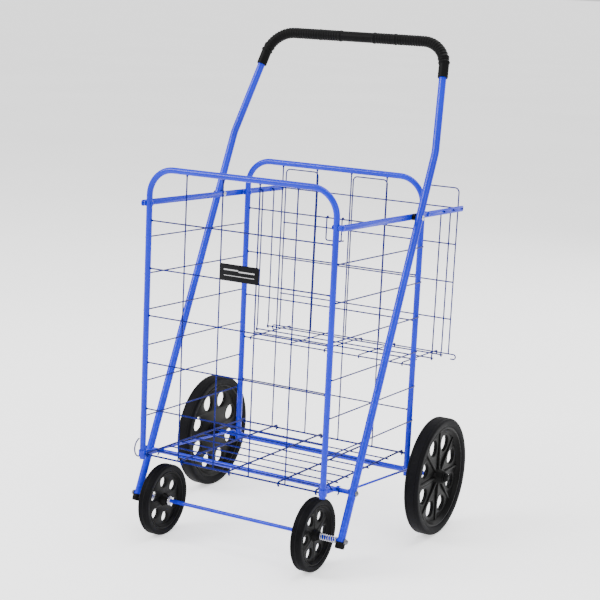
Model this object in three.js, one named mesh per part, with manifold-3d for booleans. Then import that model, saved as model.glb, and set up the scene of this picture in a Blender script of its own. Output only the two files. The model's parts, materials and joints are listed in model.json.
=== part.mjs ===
// Folding wire shopping cart: two upright frames, a strap linkage, a tilted handle frame,
// a wire main basket, a folding rear basket and four wheels.
// Millimetres. X runs across the cart, -Y is the front, +Z is up, the ground is z = 0.
import * as THREE from 'three';
import { mergeVertices } from 'three/addons/utils/BufferGeometryUtils.js';
import Module from 'manifold-3d';

const wasm = await Module();
wasm.setup();

// ---- driving dimensions ----
const GAP = 0.3;                    // clearance between separate pieces
const REAR_Y = 122.6;               // plane of the rear posts and the rear axle
const DEPTH = 385;                  // rear posts to front posts
const RISE = 13;                    // every long link is this much higher at the front
const FRONT_Y = REAR_Y - DEPTH;
const BASKET_DEPTH = 176;           // rear posts to the back of the rear basket

const POST_X = 214;                 // centre of the upright posts, each side
const POST_R = 6.35;
const POST_FACE = POST_X + POST_R;
const FRAME_BEND = 55;              // corner radius of both upright frames
const FRONT_TOP = 774;
const FRONT_BOTTOM = 165;
const REAR_TOP = 763;
const REAR_BOTTOM = 114;

const WIRE_R = 1.5;
const STOUT_R = 2;                  // hinge wires and the long wires of the floor
const WELD = 2.2;                   // distance between crossing wires that are welded
const UPRIGHT_X = [-127, -42, 42, 127];
const GRILLE_PITCH = 98.4;
const GRILLE_ROWS = 6;
const FRONT_ROW = 176;              // lowest cross wire of the front grille
const REAR_ROW = FRONT_ROW - RISE;
const LABEL = { x: 5, z: 586, width: 90, height: 34, thick: 1.2 };

const PIVOT_Z = 689;                // strap rivets on the rear posts
const STRAP_IN = 226.2;             // inner face of the strap
const STRAP_OUT = 229.2;
const STRAP_HEIGHT = 12.5;
const STRAP_TIP = 8;                // strap past its last hole
const RIVET_R = 2.5;
const RIVET_HEAD = 5.2;
const RIVET_HEAD_H = 2.4;
const RIVET_SHOULDER = 6;

const SIDE_X = POST_FACE + 0.4 + WIRE_R;
const SIDE_ROWS = 6;
const SIDE_PITCH = 75.8;
const SIDE_FIRST = 253;             // lowest side wire where it meets the front post
const STUB_X = POST_X + 1.5;        // side wires reach this far into the posts

const HANDLE_X = 244;
const HANDLE_R = 8;
const HANDLE_SLOPE = 0.449;         // backward lean, mm of Y per mm of Z
const FRONT_AXLE = { y: REAR_Y - 354.2, z: 75 };
const HANDLE_END = 67;              // height of the open lower ends
const HANDLE_BREAK = 822;           // where the legs start to lean inward
const HANDLE_TOP = { x: 209, y: REAR_Y + 79, z: 1043 };
const HANDLE_BEND = 60;
const BREAK_BEND = 120;
const GRIP_START = 971;
const GRIP_R = 11.5;
const CROSS_Z = 164;                // tube between the handle legs
const CROSS_R = 5;

const REAR_AXLE_Z = 127;
const AXLE_R = 4.5;
const REAR_WHEEL_X = 284;
const FRONT_WHEEL_X = 181;
const FRONT_AXLE_R = 4;
const SPRING_R = 6.8;
// Wheels: slot holds the two ends of an opening from the centre; slotTurn is the turn of the openings
// from +Y in steps, as each wheel happens to stand.
const REAR_WHEEL = {
  radius: 127, tyreInner: 109, tyreHalf: 16, rimHalf: 13, rimInner: 100, webHalf: 4,
  hubR: 19, hubHalf: 23, bore: AXLE_R + GAP, segments: 28,
  openings: 8, slot: [54.5, 90.5], slotHalf: 17, slotTurn: { left: 0.5, right: 0.5 },
};
const FRONT_WHEEL = {
  radius: 75, tyreInner: 62, tyreHalf: 12.5, rimHalf: 10.5, rimInner: 56, webHalf: 3.5,
  hubR: 13, hubHalf: 16, bore: FRONT_AXLE_R + GAP, segments: 24,
  openings: 6, slot: [27.5, 49.5], slotHalf: 10.5, slotTurn: { left: 0.6, right: 0 },
};

const FOOT_IN = 208;                // faces of the foot brackets
const FOOT_OUT = 214.6;
const FOOT_THICK = 2.4;
const TOE = [6.5, 19];              // foot of the bracket on the post, above the cross tube
const LATCH_PIN = { back: -12.5, lift: 6 };
const LATCH_DROP = 4;               // below the middle of the cross tube
const ROD_X = 228;                  // side rods from the cross tube to the rear axle
const ROD_R = 2.5;
const FLOOR_LONG_X = [-200, -115, 0, 115, 200];
const FLOOR_CROSS_FIRST = 350;      // first cross wire, forward of the rear posts
const FLOOR_CROSS_PITCH = 46;
const FLOOR_CROSS_COUNT = 7;
const FLOOR_HALF = 205;

const REAR_FLOOR_Z = REAR_ROW + 2 * GRILLE_PITCH;
const BACK_LOOPS = [[-218.5, -134.5], [-43, 43], [134.5, 218.5]];
const BACK_TOP = 727;
const BACK_BEND = 10;
const BACK_HALF = 220;              // half width of its cross wires below the straps
const BACK_CROSS = [602, 517, 433];
const HANGER_Y = [80, 130];
const REAR_FLOOR_LONG_X = [-190, -85, 0, 85, 190];
const REAR_FLOOR_FIRST = 40;        // plain cross wire of the rear basket floor
const HANGER_REACH = STRAP_OUT + 2.5;

const CATCH = { x: 9, half: 19, drop: 49 };

const up = (y) => (RISE * (REAR_Y - y)) / DEPTH;         // lift of a sloping link at y
const strapZ = (y) => PIVOT_Z + up(y);
const floorZ = (y) => REAR_ROW + up(y);
const rearFloorZ = (y) => REAR_FLOOR_Z + up(y);
const handleY = (z) => FRONT_AXLE.y + HANDLE_SLOPE * (z - FRONT_AXLE.z);
const at = (x, y, z) => new THREE.Vector3(x, y, z);

// Where the handle legs cross the straps.
const STRAP_SLOPE = RISE / DEPTH;
const handlePivotY = handleY(PIVOT_Z + STRAP_SLOPE * REAR_Y) / (1 + HANDLE_SLOPE * STRAP_SLOPE);
const HANDLE_PIVOT = { y: handlePivotY, z: strapZ(handlePivotY) };
const CROSS = { y: handleY(CROSS_Z), z: CROSS_Z };
const REAR_PIVOT = { y: REAR_Y, z: PIVOT_Z };
const FRONT_PIVOT = { y: FRONT_Y, z: strapZ(FRONT_Y) };
const TAIL = { y: REAR_Y + BASKET_DEPTH, z: strapZ(REAR_Y + BASKET_DEPTH) };

// ---- materials ----
const paint = new THREE.MeshStandardMaterial({ color: 0x2f4fe0, roughness: 0.32, metalness: 0.1 });
const black = new THREE.MeshStandardMaterial({ color: 0x17171a, roughness: 0.6, metalness: 0 });
const rubber = new THREE.MeshStandardMaterial({ color: 0x1d1d20, roughness: 0.85, metalness: 0 });
const zinc = new THREE.MeshStandardMaterial({ color: 0xb9bcc2, roughness: 0.3, metalness: 1 });
const plate = new THREE.MeshStandardMaterial({ color: 0x101114, roughness: 0.4, metalness: 0.2 });

// ---- geometry helpers ----
/** Merges shared corners, drops empty triangles and turns the faces outward. */
function weld(geometry) {
  const bare = geometry.clone();
  bare.deleteAttribute('normal');
  bare.deleteAttribute('uv');
  const merged = mergeVertices(bare, 1e-4);
  const index = merged.index.array;
  const place = merged.attributes.position;
  const a = new THREE.Vector3();
  const b = new THREE.Vector3();
  const c = new THREE.Vector3();
  const kept = [];
  let volume = 0;
  for (let i = 0; i < index.length; i += 3) {
    const [p, q, r] = [index[i], index[i + 1], index[i + 2]];
    if (p === q || q === r || r === p) continue;
    kept.push(p, q, r);
    a.fromBufferAttribute(place, p);
    b.fromBufferAttribute(place, q);
    c.fromBufferAttribute(place, r);
    volume += a.dot(b.cross(c));
  }
  if (volume < 0) kept.reverse();
  merged.setIndex(kept);
  return merged;
}

function toSolid(geometry) {
  const closed = weld(geometry);
  return new wasm.Manifold(new wasm.Mesh({
    numProp: 3,
    vertProperties: new Float32Array(closed.attributes.position.array),
    triVerts: new Uint32Array(closed.index.array),
  }));
}

function toGeometry(solid) {
  const mesh = solid.getMesh();
  const geometry = new THREE.BufferGeometry();
  geometry.setAttribute('position', new THREE.BufferAttribute(mesh.vertProperties, 3));
  geometry.setIndex(new THREE.BufferAttribute(mesh.triVerts, 1));
  return geometry;
}

function join(geometries) {
  const solids = geometries.map(toSolid);
  return toGeometry(solids.reduce((sum, next) => sum.add(next)));
}

function cut(base, tools) {
  return toGeometry(tools.reduce((left, tool) => left.subtract(toSolid(tool)), toSolid(base)));
}

/** A curve that steps from sample to sample, so straight stretches cost one step. */
class BentPath extends THREE.Curve {
  constructor(samples) {
    super();
    this.samples = samples;
  }

  getPoint(t, target = new THREE.Vector3()) {
    const place = t * (this.samples.length - 1);
    const i = Math.min(Math.floor(place + 1e-9), this.samples.length - 2);
    return target.lerpVectors(this.samples[i], this.samples[i + 1], place - i);
  }

  getPointAt(u, target) {
    return this.getPoint(u, target);
  }

  getTangentAt(u, target = new THREE.Vector3()) {
    const last = this.samples.length - 1;
    const i = Math.round(u * last);
    const before = this.samples[Math.max(i - 1, 0)];
    const here = this.samples[i];
    const after = this.samples[Math.min(i + 1, last)];
    const leaving = after.clone().sub(here).normalize();
    return target.subVectors(here, before).normalize().add(leaving).normalize();
  }
}

/** Rounds the inner corners of a polyline; radius may be one number or one per corner. */
function bent(points, radius, steps = 4) {
  const samples = [points[0]];
  for (let i = 1; i < points.length - 1; i += 1) {
    const back = points[i - 1].clone().sub(points[i]).normalize();
    const ahead = points[i + 1].clone().sub(points[i]).normalize();
    const half = back.angleTo(ahead) / 2;
    const r = Array.isArray(radius) ? radius[i - 1] : radius;
    const centre = back.clone().add(ahead).normalize().multiplyScalar(r / Math.sin(half)).add(points[i]);
    const first = points[i].clone().addScaledVector(back, r / Math.tan(half)).sub(centre);
    const axis = ahead.clone().cross(back).normalize();
    for (let k = 0; k <= steps; k += 1) {
      const turn = ((Math.PI - 2 * half) * k) / steps;
      samples.push(first.clone().applyAxisAngle(axis, turn).add(centre));
    }
  }
  samples.push(points[points.length - 1]);
  return samples;
}

/** Samples of an arc about (y, z) in the plane at x; angles in degrees from +Y towards +Z. */
function arc(x, centre, radius, from, to, steps) {
  return Array.from({ length: steps + 1 }, (_, k) => {
    const angle = THREE.MathUtils.degToRad(from + ((to - from) * k) / steps);
    return at(x, centre.y + radius * Math.cos(angle), centre.z + radius * Math.sin(angle));
  });
}

function polygon(radius, sides) {
  return Array.from({ length: sides }, (_, k) => {
    const angle = (2 * Math.PI * (k + 0.5)) / sides;
    return new THREE.Vector2(radius * Math.cos(angle), radius * Math.sin(angle));
  });
}

function sweep(samples, radius, sides = 5, bore = 0) {
  const section = new THREE.Shape(polygon(radius, sides));
  if (bore > 0) section.holes.push(new THREE.Path(polygon(bore, sides).reverse()));
  const extrudePath = new BentPath(samples);
  return new THREE.ExtrudeGeometry(section, { steps: samples.length - 1, extrudePath });
}

/** A body turned about the X direction: profile points are [distance along X, radius]. */
function turned(profile, centre, sides = 12, side = 1) {
  const outline = profile.map(([along, radius]) => new THREE.Vector2(radius, along));
  const geometry = new THREE.LatheGeometry(outline, sides);
  geometry.rotateZ((-side * Math.PI) / 2);
  return geometry.translate(0, centre.y, centre.z);
}

function rod(from, to, radius, centre, sides = 10) {
  return turned([[from, 0], [from, radius], [to, radius], [to, 0]], centre, sides);
}

/** A flat outline drawn in Y and Z, as thick as x0 to x1. */
function slab(shape, x0, x1) {
  const depth = x1 - x0;
  const geometry = new THREE.ExtrudeGeometry(shape, { depth, bevelEnabled: false, curveSegments: 6 });
  const basis = new THREE.Matrix4().makeBasis(at(0, 1, 0), at(0, 0, 1), at(1, 0, 0));
  return geometry.applyMatrix4(basis).translate(x0, 0, 0);
}

const upright = (x, y, z0, z1, r = WIRE_R) => sweep([at(x, y, z0), at(x, y, z1)], r);
const crosswire = (half, y, z, r = WIRE_R) => sweep([at(-half, y, z), at(half, y, z)], r);

// ---- the object ----
const cart = new THREE.Group();

function add(name, geometry, material) {
  const mesh = new THREE.Mesh(weld(geometry), material);
  mesh.name = name;
  cart.add(mesh);
  return mesh;
}

const SIDES = [['left', -1], ['right', 1]];

/** The inverted U of a frame: two posts and a rounded top. */
function frameTube(y, bottom, top) {
  const points = [at(-POST_X, y, bottom), at(-POST_X, y, top), at(POST_X, y, top), at(POST_X, y, bottom)];
  return sweep(bent(points, FRAME_BEND, 5), POST_R, 10);
}

function sideRowZ(row, y) {
  return SIDE_FIRST + row * SIDE_PITCH - RISE + up(y);
}

/** Pin holes of both posts: rivets right through, and blind holes for the side wires. */
function postBores(y, pivotZ) {
  const bores = SIDES.map(([, side]) => rod(side * 190, side * 240, RIVET_R + GAP, { y, z: pivotZ }, 8));
  for (let row = 0; row < SIDE_ROWS; row += 1) {
    for (const [, side] of SIDES) {
      const hole = { y, z: sideRowZ(row, y) };
      bores.push(rod(side * (STUB_X - GAP), side * 240, WIRE_R + 0.6, hole, 5));
    }
  }
  return bores;
}

function makeFrames() {
  const axle = { y: REAR_Y, z: REAR_AXLE_Z };
  const rearTube = join([frameTube(REAR_Y, REAR_BOTTOM, REAR_TOP), rod(-POST_X, POST_X, POST_R, axle, 12)]);
  const axleBore = rod(-240, 240, AXLE_R + GAP, axle, 10);
  add('rear_tube', cut(rearTube, [axleBore, ...postBores(REAR_Y, PIVOT_Z)]), paint);
  const frontTube = frameTube(FRONT_Y, FRONT_BOTTOM, FRONT_TOP);
  add('front_tube', cut(frontTube, postBores(FRONT_Y, FRONT_PIVOT.z)), paint);
}

/** Cross wires lie on the plane of the posts, uprights just behind them. */
function grille(y, lowest, top) {
  const half = POST_X - POST_R - GAP;
  const wires = [];
  for (let row = 0; row < GRILLE_ROWS; row += 1) {
    const radius = row === 0 ? STOUT_R : WIRE_R;
    wires.push(crosswire(half, y, lowest + row * GRILLE_PITCH, radius));
  }
  for (const x of UPRIGHT_X) wires.push(upright(x, y + WELD, lowest - 1, top - POST_R - GAP));
  return join(wires);
}

function makeGrilles() {
  add('front_grille', grille(FRONT_Y, FRONT_ROW, FRONT_TOP), paint);
  add('rear_grille', grille(REAR_Y, REAR_ROW, REAR_TOP), paint);
  const label = new THREE.BoxGeometry(LABEL.width, LABEL.thick, LABEL.height);
  label.translate(LABEL.x, FRONT_Y - WIRE_R - GAP - LABEL.thick / 2, LABEL.z);
  add('label_plate', label, plate);
}

/** Rivet through a post and a strap, with a shoulder that keeps them apart. */
function postRivet(centre, side) {
  const inner = POST_X - POST_R - GAP;
  const profile = [
    [inner - RIVET_HEAD_H, 0], [inner - RIVET_HEAD_H, RIVET_HEAD - 1.5], [inner, RIVET_HEAD],
    [inner, RIVET_R], [POST_FACE + GAP, RIVET_R], [POST_FACE + GAP, RIVET_SHOULDER],
    [STRAP_IN - GAP, RIVET_SHOULDER],
    [STRAP_IN - GAP, RIVET_R], [STRAP_OUT + GAP, RIVET_R], [STRAP_OUT + GAP, RIVET_HEAD],
    [STRAP_OUT + GAP + RIVET_HEAD_H, RIVET_HEAD - 1.5], [STRAP_OUT + GAP + RIVET_HEAD_H, 0],
  ];
  return turned(profile, centre, 8, side);
}

function makeStraps() {
  const front = FRONT_PIVOT.y - STRAP_TIP;
  const tail = TAIL.y + STRAP_TIP;
  const h = STRAP_HEIGHT / 2;
  const clip = 3;
  const corner = (y, dz) => new THREE.Vector2(y, strapZ(y) + dz);
  const outline = [
    corner(front + clip, -h), corner(tail - clip, -h), corner(tail, -h + clip), corner(tail, h - clip),
    corner(tail - clip, h), corner(front + clip, h), corner(front, h - clip), corner(front, -h + clip),
  ];
  const holes = [
    [FRONT_PIVOT, RIVET_R + GAP], [HANDLE_PIVOT, RIVET_R + GAP], [REAR_PIVOT, RIVET_R + GAP],
    [TAIL, WIRE_R + 0.5],
    ...HANGER_Y.map((y) => [{ y: REAR_Y + y, z: strapZ(REAR_Y + y) }, WIRE_R + 0.5]),
  ];
  for (const [word, side] of SIDES) {
    const shape = new THREE.Shape(outline);
    for (const [{ y, z }, radius] of holes) {
      const ring = polygon(radius * 1.08, 8).map((p) => new THREE.Vector2(p.x + y, p.y + z));
      shape.holes.push(new THREE.Path(ring.reverse()));
    }
    const [x0, x1] = side > 0 ? [STRAP_IN, STRAP_OUT] : [-STRAP_OUT, -STRAP_IN];
    add(`strap_${word}`, slab(shape, x0, x1), paint);
    add(`rear_rivet_${word}`, postRivet(REAR_PIVOT, side), paint);
    add(`front_rivet_${word}`, postRivet(FRONT_PIVOT, side), paint);
    const start = STRAP_IN - GAP;
    const end = HANDLE_X + HANDLE_R + GAP;
    add(`handle_rivet_${word}`, turned([
      [start - 1.6, 0], [start - 1.6, RIVET_HEAD - 1], [start, RIVET_HEAD], [start, RIVET_R],
      [end, RIVET_R], [end, RIVET_HEAD], [end + RIVET_HEAD_H, RIVET_HEAD - 1.5], [end + RIVET_HEAD_H, 0],
    ], HANDLE_PIVOT, 8, side), zinc);
    const [near, far] = [STRAP_OUT + GAP, HANDLE_X - HANDLE_R - GAP];
    const bore = RIVET_R + GAP;
    add(`handle_spacer_${word}`, turned([
      [near, bore], [near, 7], [far, 7], [far, bore], [near, bore],
    ], HANDLE_PIVOT, 12, side), black);
  }
}

/** Six sloping wires a side, with bent ends that turn in the posts. */
function makeSideWires() {
  for (const [word, side] of SIDES) {
    for (let row = 0; row < SIDE_ROWS; row += 1) {
      const [front, rear] = [sideRowZ(row, FRONT_Y), sideRowZ(row, REAR_Y)];
      const x = side * SIDE_X;
      const points = [at(side * STUB_X, FRONT_Y, front), at(x, FRONT_Y, front), at(x, REAR_Y, rear),
        at(side * STUB_X, REAR_Y, rear)];
      add(`side_wire_${word}_${row + 1}`, sweep(bent(points, 2.5, 3), WIRE_R), paint);
    }
  }
}

const handleCorner = (side) => at(side * HANDLE_TOP.x, HANDLE_TOP.y, HANDLE_TOP.z);
const handleBreak = (side) => at(side * HANDLE_X, handleY(HANDLE_BREAK), HANDLE_BREAK);

function makeHandle() {
  const foot = (side) => at(side * HANDLE_X, handleY(HANDLE_END), HANDLE_END);
  const points = [foot(-1), handleBreak(-1), handleCorner(-1), handleCorner(1), handleBreak(1), foot(1)];
  const tube = sweep(bent(points, [BREAK_BEND, HANDLE_BEND, HANDLE_BEND, BREAK_BEND], 4), HANDLE_R, 10);
  const bores = [];
  for (const [, side] of SIDES) {
    bores.push(rod(side * 225, side * 260, FRONT_AXLE_R + GAP, FRONT_AXLE, 10));
    bores.push(rod(side * 225, side * 260, RIVET_R + GAP, CROSS, 8));
    bores.push(rod(side * 225, side * 260, RIVET_R + GAP, HANDLE_PIVOT, 8));
  }
  add('handle_tube', cut(tube, bores), paint);

  const share = (GRIP_START - HANDLE_BREAK) / (HANDLE_TOP.z - HANDLE_BREAK);
  const gripEnd = (side) => handleBreak(side).lerp(handleCorner(side), share);
  const gripLine = [gripEnd(-1), handleCorner(-1), handleCorner(1), gripEnd(1)];
  add('grip', sweep(bent(gripLine, HANDLE_BEND, 4), GRIP_R, 10, HANDLE_R + GAP + 0.5), black);

  const down = at(0, -HANDLE_SLOPE, -1).normalize();
  for (const [word, side] of SIDES) {
    const tip = foot(side);
    const cap = new THREE.LatheGeometry([
      new THREE.Vector2(0, 7), new THREE.Vector2(9.5, 7), new THREE.Vector2(9.8, -1.5),
      new THREE.Vector2(HANDLE_R + GAP + 0.2, -1.5), new THREE.Vector2(HANDLE_R + GAP + 0.2, 0.4),
      new THREE.Vector2(0, 0.4),
    ], 14);
    cap.applyQuaternion(new THREE.Quaternion().setFromUnitVectors(at(0, 1, 0), down));
    add(`handle_cap_${word}`, cap.translate(tip.x, tip.y, tip.z), black);
    const outside = HANDLE_X + HANDLE_R + GAP;
    const inside = HANDLE_X - HANDLE_R - 4;
    add(`cross_bolt_${word}`, turned([
      [inside - 8, 0], [inside - 8, RIVET_R], [outside, RIVET_R], [outside, 6], [outside + 3, 5.5],
      [outside + 4.5, 3], [outside + 4.5, 0],
    ], CROSS, 10, side), zinc);
    const [near, far] = [FRONT_WHEEL_X + FRONT_WHEEL.hubHalf + GAP, HANDLE_X - HANDLE_R - GAP];
    const bore = FRONT_AXLE_R + GAP;
    add(`spring_${word}`, turned([
      [near, bore], [near, SPRING_R], [far, SPRING_R], [far, bore], [near, bore],
    ], FRONT_AXLE, 12, side), zinc);
  }
  const nut = HANDLE_X + HANDLE_R + GAP;
  add('front_axle', turned([
    [-nut - 7, 0], [-nut - 5, 5.5], [-nut, 6.5], [-nut, FRONT_AXLE_R], [nut, FRONT_AXLE_R],
    [nut, 6.5], [nut + 5, 5.5], [nut + 7, 0],
  ], FRONT_AXLE, 10), paint);
}

/** Cross tube on the handle legs, with a rod each side that hooks over the rear axle. */
function makeBottomFrame() {
  const end = HANDLE_X - HANDLE_R - GAP;
  const pieces = [rod(-end, end, CROSS_R, CROSS, 10)];
  const hookR = AXLE_R + GAP + 0.2 + ROD_R;
  const axle = { y: REAR_Y, z: REAR_AXLE_Z };
  for (const [, side] of SIDES) {
    const x = side * ROD_X;
    pieces.push(sweep([at(x, CROSS.y, CROSS.z), ...arc(x, axle, hookR, 92, -25, 6)], ROD_R, 8));
  }
  const tube = join(pieces);
  const inner = HANDLE_X - HANDLE_R - 13;
  const bores = SIDES.map(([, side]) => rod(side * inner, side * HANDLE_X, RIVET_R + GAP, CROSS, 8));
  add('bottom_frame', cut(tube, bores), paint);
}

/** Main basket floor: long wires hooked round the lowest grille wires, cross wires below them. */
function makeFloor() {
  const hookR = 2 * STOUT_R + 0.5;
  const lean = THREE.MathUtils.radToDeg(Math.atan2(RISE, DEPTH));
  const front = { y: FRONT_Y, z: FRONT_ROW };
  const rear = { y: REAR_Y, z: REAR_ROW };
  const wires = FLOOR_LONG_X.map((x) => sweep([
    ...arc(x, rear, hookR, -80, 90 - lean, 4), ...arc(x, front, hookR, 90 - lean, 260, 4),
  ], STOUT_R));
  for (let i = 0; i < FLOOR_CROSS_COUNT; i += 1) {
    const y = REAR_Y - FLOOR_CROSS_FIRST + i * FLOOR_CROSS_PITCH;
    wires.push(crosswire(FLOOR_HALF, y, floorZ(y) + hookR - 2.8));
  }
  add('basket_floor', join(wires), paint);
}

/** Saddle from the foot of a front post back over the cross tube. */
function makeFeet() {
  const inner = CROSS_R + 0.6;
  const ring = (radius, from, to) => Array.from({ length: 7 }, (_, k) => {
    const angle = THREE.MathUtils.degToRad(from + ((to - from) * k) / 6);
    return new THREE.Vector2(CROSS.y + radius * Math.cos(angle), CROSS.z + radius * Math.sin(angle));
  });
  const toe = FRONT_Y + POST_R + GAP;
  const outline = [
    new THREE.Vector2(toe, CROSS.z + TOE[1]), ...ring(inner + FOOT_THICK, 112, 60),
    ...ring(inner, 60, 165), new THREE.Vector2(toe, CROSS.z + TOE[0]),
  ];
  for (const [word, side] of SIDES) {
    const [x0, x1] = side > 0 ? [FOOT_IN, FOOT_OUT] : [-FOOT_OUT, -FOOT_IN];
    const pin = { y: CROSS.y + LATCH_PIN.back, z: CROSS.z + LATCH_PIN.lift };
    const hole = rod(side * (FOOT_IN + 2.5), side * (FOOT_OUT + 5), WIRE_R + GAP + 0.2, pin, 8);
    add(`foot_bracket_${word}`, cut(slab(new THREE.Shape(outline), x0, x1), [hole]), paint);
    const x = side * (FOOT_OUT + GAP + WIRE_R);
    const y = CROSS.y - CROSS_R - 0.8 - WIRE_R;
    const low = CROSS.z - LATCH_DROP;
    const samples = bent([at(side * (FOOT_IN + 3), pin.y, pin.z), at(x, pin.y, pin.z),
      at(x, y, pin.z - 7), at(x, y, low), at(x, y - 4, low - 3)], [1.6, 2.5, 2], 3);
    add(`foot_latch_${word}`, sweep(samples, WIRE_R), paint);
  }
}

/** Rear basket: back panel, hinged floor and two hanging wires a side. */
function makeRearBasket() {
  const back = TAIL.y;
  const lowest = rearFloorZ(back);
  const loops = BACK_LOOPS.map(([x0, x1]) => sweep(bent([
    at(x0, back + WELD, lowest - 1), at(x0, back + WELD, BACK_TOP), at(x1, back + WELD, BACK_TOP),
    at(x1, back + WELD, lowest - 1),
  ], BACK_BEND, 4), WIRE_R));
  const crossings = BACK_CROSS.map((z) => crosswire(BACK_HALF, back, z));
  crossings.push(crosswire(HANGER_REACH, back, TAIL.z), crosswire(BACK_HALF, back, lowest));
  add('rear_basket_back', join([...loops, ...crossings]), paint);

  const hookR = 2 * WIRE_R + 0.5;
  const lean = THREE.MathUtils.radToDeg(Math.atan2(RISE, DEPTH));
  const hinge = { y: REAR_Y, z: REAR_FLOOR_Z };
  const far = { y: back, z: lowest };
  const wires = REAR_FLOOR_LONG_X.map((x) => sweep([
    ...arc(x, hinge, hookR, 250, 90 - lean, 4), ...arc(x, far, hookR, 90 - lean, -80, 4),
  ], WIRE_R));
  for (const y of [REAR_FLOOR_FIRST, ...HANGER_Y]) {
    const half = y === REAR_FLOOR_FIRST ? FLOOR_HALF : SIDE_X + 3.5;
    wires.push(crosswire(half, REAR_Y + y, rearFloorZ(REAR_Y + y) + hookR + 2));
  }
  add('rear_basket_floor', join(wires), paint);

  HANGER_Y.forEach((distance, i) => {
    for (const [word, side] of SIDES) {
      const y = REAR_Y + distance;
      const eye = { y, z: rearFloorZ(y) + hookR + 2 };
      const x = side * SIDE_X;
      const samples = [
        at(side * HANGER_REACH, y, strapZ(y)), at(x, y, strapZ(y)),
      ];
      const top = bent([...samples, at(x, y, eye.z + 20)], 2.5, 3).slice(0, -1);
      const hanger = [...top, at(x, y, eye.z + 14), ...arc(x, eye, hookR, 125, 300, 6)];
      add(`rear_basket_hanger_${word}_${i + 1}`, sweep(hanger, WIRE_R), paint);
    }
  });
}

/** Wire catch that hangs from the rear grille and holds the folded cart closed. */
function makeFoldCatch() {
  const [left, right] = [CATCH.x - CATCH.half, CATCH.x + CATCH.half];
  const eye = { y: REAR_Y, z: REAR_ROW + (GRILLE_ROWS - 1) * GRILLE_PITCH };
  const hookR = 2 * WIRE_R + 0.5;
  const y = REAR_Y - hookR;
  const leg = (x) => arc(x, eye, hookR, 0, 180, 6);
  const foot = bent([at(left, y, eye.z), at(left, y, eye.z - CATCH.drop),
    at(right, y, eye.z - CATCH.drop), at(right, y, eye.z)], 4, 3);
  const samples = [...leg(left).slice(0, -1), ...foot, ...leg(right).reverse().slice(1)];
  add('fold_catch', sweep(samples, WIRE_R), paint);
}

function wheel(spec, turn) {
  const s = spec;
  const profile = [
    [-s.hubHalf, s.bore], [-s.hubHalf, s.hubR * 0.75], [-s.webHalf, s.hubR], [-s.webHalf, s.rimInner],
    [-s.rimHalf, s.tyreInner - GAP], [s.rimHalf, s.tyreInner - GAP], [s.webHalf, s.rimInner],
    [s.webHalf, s.hubR], [s.hubHalf, s.hubR * 0.75], [s.hubHalf, s.bore], [-s.hubHalf, s.bore],
  ];
  const body = turned(profile, { y: 0, z: 0 }, s.segments);
  const middle = (s.slot[0] + s.slot[1]) / 2;
  const stretch = (s.slot[1] - s.slot[0]) / 2;
  const openings = Array.from({ length: s.openings }, (_, k) => {
    const oval = polygon(1, 8).map((p) => new THREE.Vector2(middle + p.x * stretch, p.y * s.slotHalf));
    const tool = slab(new THREE.Shape(oval), -s.rimHalf - 5, s.rimHalf + 5);
    return tool.rotateX((2 * Math.PI * (k + turn)) / s.openings);
  });
  return cut(body, openings);
}

function tyre(spec) {
  const s = spec;
  return turned([
    [-s.rimHalf, s.tyreInner], [-s.tyreHalf, s.radius - 7], [-s.tyreHalf + 6, s.radius],
    [s.tyreHalf - 6, s.radius], [s.tyreHalf, s.radius - 7], [s.rimHalf, s.tyreInner],
    [-s.rimHalf, s.tyreInner],
  ], { y: 0, z: 0 }, s.segments);
}

function makeWheels() {
  const ends = [['rear', REAR_WHEEL, REAR_WHEEL_X, REAR_Y, REAR_AXLE_Z],
    ['front', FRONT_WHEEL, FRONT_WHEEL_X, FRONT_AXLE.y, FRONT_AXLE.z]];
  for (const [end, spec, x, y, z] of ends) {
    for (const [word, side] of SIDES) {
      add(`${end}_wheel_${word}`, wheel(spec, spec.slotTurn[word]), black).position.set(side * x, y, z);
      add(`${end}_tyre_${word}`, tyre(spec), rubber).position.set(side * x, y, z);
    }
  }
  const tip = REAR_WHEEL_X + REAR_WHEEL.hubHalf + GAP;
  add('rear_axle', turned([
    [-tip - 7, 0], [-tip - 5, 8], [-tip, 10], [-tip, AXLE_R],
    [tip, AXLE_R], [tip, 10], [tip + 5, 8], [tip + 7, 0],
  ], { y: REAR_Y, z: REAR_AXLE_Z }, 10), paint);
}

makeFrames();
makeGrilles();
makeStraps();
makeSideWires();
makeHandle();
makeBottomFrame();
makeFloor();
makeFeet();
makeRearBasket();
makeFoldCatch();
makeWheels();

export default cart;
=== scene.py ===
"""Folding wire shopping cart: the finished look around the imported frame.

Metres, the same frame as the CAD: X runs across the cart, -Y is the front, +Z is up.
"""
import json
import math
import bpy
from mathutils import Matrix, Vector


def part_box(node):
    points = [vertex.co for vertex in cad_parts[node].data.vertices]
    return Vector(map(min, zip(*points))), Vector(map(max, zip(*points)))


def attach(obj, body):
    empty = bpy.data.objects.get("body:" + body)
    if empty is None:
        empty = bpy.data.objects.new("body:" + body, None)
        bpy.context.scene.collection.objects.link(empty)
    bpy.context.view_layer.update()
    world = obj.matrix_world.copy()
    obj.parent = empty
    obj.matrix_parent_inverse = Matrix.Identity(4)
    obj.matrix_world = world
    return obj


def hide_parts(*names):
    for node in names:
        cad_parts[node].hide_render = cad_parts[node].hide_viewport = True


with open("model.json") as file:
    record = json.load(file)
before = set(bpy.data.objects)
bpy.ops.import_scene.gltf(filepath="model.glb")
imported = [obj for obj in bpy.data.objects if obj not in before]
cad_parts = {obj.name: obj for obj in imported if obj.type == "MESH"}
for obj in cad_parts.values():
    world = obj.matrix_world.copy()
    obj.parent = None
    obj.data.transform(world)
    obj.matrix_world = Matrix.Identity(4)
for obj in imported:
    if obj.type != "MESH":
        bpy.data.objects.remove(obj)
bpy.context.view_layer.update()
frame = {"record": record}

from types import SimpleNamespace

import bmesh
import bpy
from mathutils import Matrix, Quaternion, Vector

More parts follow.
